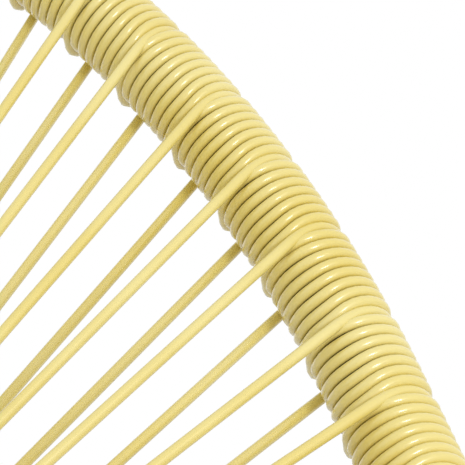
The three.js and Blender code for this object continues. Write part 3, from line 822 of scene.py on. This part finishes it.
class CHAIR_OT_inner_ring(bpy.types.Operator):
    """Model the inner ring and the two stays that hold it"""

    bl_idname = "chair.inner_ring"
    bl_label = "Inner ring and stays"

    def execute(self, context):
        sizes = context.scene.chair_sizes
        hoop = HoopLine(sizes)
        ring = InnerRing(sizes, hoop)
        paint = shared("frame_paint", frame_paint)
        axes = Matrix((ring.across, ring.up, ring.face)).transposed().to_4x4()
        place = Matrix.Translation(ring.centre) @ axes
        shape = torus_shape(ring.radius, sizes.ring_rod, 120, ROD_SIDES, place)
        finish_piece("inner_ring_rod", shape, paint, "frame", "inner_ring")
        for side, sector in (("left", STAY_SECTOR), ("right", SECTORS - STAY_SECTOR)):
            top, _ = ring.at(sector)
            bottom = bar_middle(sizes, hoop)
            bottom.x = top.x
            down = (bottom - top).normalized()
            start = top + down * sizes.ring_rod * STAY_END_SHARE
            end = bottom - down * sizes.tube_radius * STAY_END_SHARE
            neck = top + down * STAY_TIP_LENGTH
            shape = tube_shape([[start, neck]], STAY_TIP_RADIUS, 12)
            taper = (neck - down * STAY_LAP, neck + down * STAY_TAPER)
            cone = bmesh.new()
            bmesh.ops.create_cone(
                cone, cap_ends=True, segments=ROD_SIDES, radius1=STAY_TIP_RADIUS, radius2=STAY_RADIUS,
                depth=(taper[1] - taper[0]).length)
            turned = down.to_track_quat("Z", "Y").to_matrix().to_4x4()
            placed = Matrix.Translation((taper[0] + taper[1]) / 2) @ turned
            bmesh.ops.transform(cone, matrix=placed, verts=cone.verts)
            add_shape(shape, cone)
            add_shape(shape, tube_shape([[taper[1] - down * STAY_LAP / 2, end]], STAY_RADIUS, ROD_SIDES))
            bead = bottom - down * (sizes.tube_radius + BEAD_LIFT)
            add_shape(shape, weld_bead(bead, down, STAY_RADIUS + 0.0005))
            finish_piece("stay_" + side, shape, paint, "frame", "ring_stay_" + side)
        return {"FINISHED"}


class CHAIR_OT_brackets(bpy.types.Operator):
    """Model the lugs under the hoop and every bolt and nut"""

    bl_idname = "chair.brackets"
    bl_label = "Lugs, bolts and nuts"

    def execute(self, context):
        paint = shared("frame_paint", frame_paint)
        zinc = shared("zinc_plate", zinc_plate)
        for name in LUG_SECTORS:
            node = "lug_" + name
            finish_piece("bracket_" + name, dressed_copy(node, LUG_EDGE, 3), paint, "frame", node)
        fasteners = [kind + name for name in LUG_SECTORS for kind in ("bolt_", "nut_")]
        fasteners += [kind + side for side in ("left", "right") for kind in ("clamp_bolt_", "clamp_nut_")]
        for node in fasteners:
            finish_piece(node + "_zinc", dressed_copy(node, BOLT_EDGE), zinc, "fasteners", node)
        return {"FINISHED"}


class CHAIR_OT_base(bpy.types.Operator):
    """Model the three legs, the cross bar, its clamp and the floor braces"""

    bl_idname = "chair.base"
    bl_label = "Legs, cross bar and braces"

    def execute(self, context):
        sizes = context.scene.chair_sizes
        hoop = HoopLine(sizes)
        paint = shared("frame_paint", frame_paint)
        tube = sizes.tube_radius
        for name in ("front_left", "front_right"):
            route = leg_route(sizes, hoop, name)
            shape = tube_shape([route], tube, TUBE_SIDES)
            add_shape(shape, tang_shape(hoop, name))
            add_shape(shape, weld_bead(route[0], route[1] - route[0], tube * TANG_BEAD_SHARE))
            finish_piece("leg_tube_" + name, shape, paint, "frame", "leg_" + name)
        shape = tube_shape([leg_route(sizes, hoop, "rear")], tube, TUBE_SIDES)
        place = clamp_frame(sizes, hoop)
        depth = tube + PLATE_GAP + CLAMP_WALL
        block = bmesh.new()
        height = depth - CLAMP_GAP / 2
        scaled = Matrix.Diagonal((CLAMP_LENGTH, height, 2 * CLAMP_HALF_WIDTH, 1))
        bmesh.ops.create_cube(block, size=1.0, matrix=scaled)
        bevel_sharp(block, CLAMP_EDGE, 3)
        middle = place @ Matrix.Translation((0, CLAMP_GAP / 2 + height / 2, 0))
        bmesh.ops.transform(block, matrix=middle, verts=block.verts)
        add_shape(shape, block)
        down = place.col[1].xyz
        bead = place @ Vector((0, depth + 0.0004, 0))
        add_shape(shape, weld_bead(bead, down, tube + BEAD_LIFT, CLAMP_BEAD_RADIUS))
        finish_piece("leg_tube_rear", shape, paint, "frame", "leg_rear")
        finish_piece("clamp_cap_steel", dressed_copy("clamp_cap", CAP_EDGE, 3), paint, "frame", "clamp_cap")
        left, right = tube_start(hoop, "rear_left"), tube_start(hoop, "rear_right")[::-1]
        flat = [bar_middle(sizes, hoop) + Vector((side * BAR_FLAT_HALF, 0, 0)) for side in (1, -1)]
        route = bent_route(left + flat + right, LEG_BEND)
        shape = tube_shape([route], tube, TUBE_SIDES)
        for name, end, inside in (("rear_left", route[0], route[1]), ("rear_right", route[-1], route[-2])):
            add_shape(shape, tang_shape(hoop, name))
            add_shape(shape, weld_bead(end, inside - end, tube * TANG_BEAD_SHARE))
        finish_piece("cross_bar_tube", shape, paint, "frame", "cross_bar")
        self.make_braces(sizes, hoop, paint)
        return {"FINISHED"}

    def make_braces(self, sizes, hoop, paint):
        spans = {
            "front": ("front_left", "front_right", FRONT_BRACE_HEIGHT),
            "left": ("front_left", "rear", SIDE_BRACE_HEIGHT),
            "right": ("front_right", "rear", SIDE_BRACE_HEIGHT),
        }
        for name, (first, second, height) in spans.items():
            ends = [on_route(leg_route(sizes, hoop, leg), height) for leg in (first, second)]
            along = (ends[1] - ends[0]).normalized()
            sunk = along * sizes.tube_radius * BRACE_END_SHARE
            shape = tube_shape([[ends[0] + sunk, ends[1] - sunk]], BRACE_RADIUS, ROD_SIDES)
            for end, way in ((ends[0], along), (ends[1], -along)):
                bead = end + way * (sizes.tube_radius + BEAD_LIFT)
                add_shape(shape, weld_bead(bead, way, BRACE_RADIUS + BEAD_LIFT))
            finish_piece("brace_rod_" + name, shape, paint, "frame", "brace_" + name)


class CHAIR_OT_feet(bpy.types.Operator):
    """Turn the three rubber feet"""

    bl_idname = "chair.feet"
    bl_label = "Feet"

    def execute(self, context):
        sizes = context.scene.chair_sizes
        hoop = HoopLine(sizes)
        rubber = shared("foot_rubber", foot_rubber)
        bore = sizes.tube_radius + PLATE_GAP
        profile = [(0, 0.0008), (0.0085, 0.0008), (0.0095, 0), (0.0125, 0), (0.0136, 0.0004)]
        profile += [(FOOT_RADIUS, 0.0016)]
        for i in range(FOOT_GROOVES):
            low = FOOT_GROOVE_START + FOOT_GROOVE_SPACING * i
            high = low + FOOT_GROOVE_WIDTH
            floor = FOOT_RADIUS - FOOT_GROOVE_DEPTH
            profile += [(FOOT_RADIUS, low), (floor, low + FOOT_GROOVE_DEPTH)]
            profile += [(floor, high - FOOT_GROOVE_DEPTH), (FOOT_RADIUS, high)]
        profile += [(FOOT_RADIUS, FOOT_HEIGHT - 0.0012), (FOOT_RADIUS - 0.0008, FOOT_HEIGHT - 0.0002)]
        profile += [(FOOT_RADIUS - 0.0016, FOOT_HEIGHT), (bore, FOOT_HEIGHT)]
        profile += [(bore, FOOT_FLOOR), (0, FOOT_FLOOR)]
        for name in ("front_left", "front_right", "rear"):
            shape = bmesh.new()
            verts = [shape.verts.new((radius, 0, height)) for radius, height in profile]
            edges = [shape.edges.new(pair) for pair in zip(verts, verts[1:])]
            bmesh.ops.spin(
                shape, geom=verts + edges, cent=(0, 0, 0), axis=(0, 0, 1), angle=TURN, steps=40,
                use_merge=True, use_duplicate=False)
            bmesh.ops.remove_doubles(shape, verts=shape.verts, dist=MERGE)
            bmesh.ops.recalc_face_normals(shape, faces=shape.faces)
            place = Matrix.Translation(foot_point(sizes, hoop, name, 0))
            bmesh.ops.transform(shape, matrix=place, verts=shape.verts)
            finish_piece("foot_cap_" + name, shape, rubber, "feet", "foot_" + name)
        return {"FINISHED"}


class CHAIR_OT_stage(bpy.types.Operator):
    """Set the floor, the light and the camera"""

    bl_idname = "chair.stage"
    bl_label = "Stage"

    def execute(self, context):
        stage = context.scene.chair_stage
        self.make_floor(context, stage)
        self.make_sky(context, stage)
        self.make_lamps(context, stage)
        self.make_camera(context, stage)
        context.scene.view_settings.view_transform = "Standard"
        return {"FINISHED"}

    def make_floor(self, context, stage):
        shape = bmesh.new()
        bmesh.ops.create_circle(shape, cap_ends=True, segments=96, radius=stage.floor_radius)
        mesh = bpy.data.meshes.new("floor")
        shape.to_mesh(mesh)
        shape.free()
        finish = Finish("floor_paint")
        pale = tuple(context.scene.chair_colours.floor)
        paler = tuple(min(1.0, 1.02 * value) for value in pale)
        mesh.materials.append(finish.set(
            Base_Color=finish.ramp(finish.noise(3.0, 3.0), 0.3, 0.7, pale, paler), Roughness=0.75))
        floor = bpy.data.objects.new("floor", mesh)
        context.scene.collection.objects.link(floor)

    def make_sky(self, context, stage):
        world = bpy.data.worlds.new("sky")
        context.scene.world = world
        world.use_nodes = True
        nodes, links = world.node_tree.nodes, world.node_tree.links
        ray = nodes.new("ShaderNodeLightPath")
        seen = ray.outputs["Is Camera Ray"]
        for kind in ("Is Glossy Ray", "Is Transmission Ray"):
            larger = nodes.new("ShaderNodeMath")
            larger.operation = "MAXIMUM"
            links.new(seen, larger.inputs[0])
            links.new(ray.outputs[kind], larger.inputs[1])
            seen = larger.outputs[0]
        strength = nodes.new("ShaderNodeMapRange")
        strength.inputs["To Min"].default_value = stage.sky
        strength.inputs["To Max"].default_value = 1.0
        links.new(seen, strength.inputs["Value"])
        background = nodes["Background"]
        background.inputs["Color"].default_value = (1, 1, 1, 1)
        links.new(strength.outputs["Result"], background.inputs["Strength"])

    def make_lamps(self, context, stage):
        hoop = HoopLine(context.scene.chair_sizes)
        target = hoop.at(SHEEN_SHARE * hoop.perimeter)
        view = (hoop.lip_place + Vector(stage.camera_place) - target.point).normalized()
        turned = Matrix.Rotation(SHEEN_TURN, 3, target.along) @ view
        lamps = (
            ("key_lamp", stage.key_power, stage.key_size, target.point + SHEEN_DISTANCE * turned),
            ("fill_lamp", stage.fill_power, stage.fill_size, Vector(stage.fill_place)),
        )
        for name, power, size, place in lamps:
            light = bpy.data.lights.new(name, "AREA")
            light.shape = "DISK"
            light.size = size
            light.energy = power
            lamp = bpy.data.objects.new(name, light)
            lamp.location = place
            lamp.rotation_euler = (target.point - place).to_track_quat("-Z", "Y").to_euler()
            lamp.visible_camera = False
            context.scene.collection.objects.link(lamp)

    def make_camera(self, context, stage):
        hoop = HoopLine(context.scene.chair_sizes)
        yaw, pitch, roll = stage.camera_yaw, stage.camera_pitch, stage.camera_roll
        level = Vector((math.sin(yaw), math.cos(yaw), 0))
        forward = level * math.cos(pitch) + Vector((0, 0, math.sin(pitch)))
        right = Vector((math.cos(yaw), -math.sin(yaw), 0))
        up = right.cross(forward)
        turned = math.cos(roll) * right + math.sin(roll) * up
        raised = math.cos(roll) * up - math.sin(roll) * right
        view = bpy.data.cameras.new("camera")
        view.sensor_width = 36.0
        view.lens = stage.focal_pixels * view.sensor_width / stage.picture_pixels
        view.clip_start = 0.15
        view.clip_end = 60.0
        camera = bpy.data.objects.new("camera", view)
        place = Matrix.Translation(hoop.lip_place + Vector(stage.camera_place))
        camera.matrix_world = place @ Matrix((turned, raised, -forward)).transposed().to_4x4()
        context.scene.collection.objects.link(camera)
        context.scene.camera = camera


class CHAIR_PT_panel(bpy.types.Panel):
    """The chair's pieces, sizes and colours"""

    bl_idname = "CHAIR_PT_panel"
    bl_label = "Acapulco Chair"
    bl_space_type = "VIEW_3D"
    bl_region_type = "UI"
    bl_category = "Chair"

    def draw(self, context):
        layout = self.layout
        for operator in OPERATORS:
            layout.operator(operator.bl_idname)
        for settings in (context.scene.chair_sizes, context.scene.chair_colours, context.scene.chair_stage):
            column = layout.column(align=True)
            for key in settings.__annotations__:
                column.prop(settings, key)


OPERATORS = (
    CHAIR_OT_stage,
    CHAIR_OT_hoop,
    CHAIR_OT_winding,
    CHAIR_OT_inner_ring,
    CHAIR_OT_brackets,
    CHAIR_OT_base,
    CHAIR_OT_feet,
)
CLASSES = (ChairSizes, ChairColours, StageSettings, *OPERATORS, CHAIR_PT_panel)


def register():
    for item in CLASSES:
        bpy.utils.register_class(item)
    bpy.types.Scene.chair_sizes = PointerProperty(type=ChairSizes)
    bpy.types.Scene.chair_colours = PointerProperty(type=ChairColours)
    bpy.types.Scene.chair_stage = PointerProperty(type=StageSettings)


def unregister():
    del bpy.types.Scene.chair_stage
    del bpy.types.Scene.chair_colours
    del bpy.types.Scene.chair_sizes
    for item in reversed(CLASSES):
        bpy.utils.unregister_class(item)


def main():
    register()
    bpy.ops.chair.stage()
    bpy.ops.chair.hoop()
    bpy.ops.chair.winding()
    bpy.ops.chair.inner_ring()
    bpy.ops.chair.brackets()
    bpy.ops.chair.base()
    bpy.ops.chair.feet()


if __name__ == "__main__":
    main()
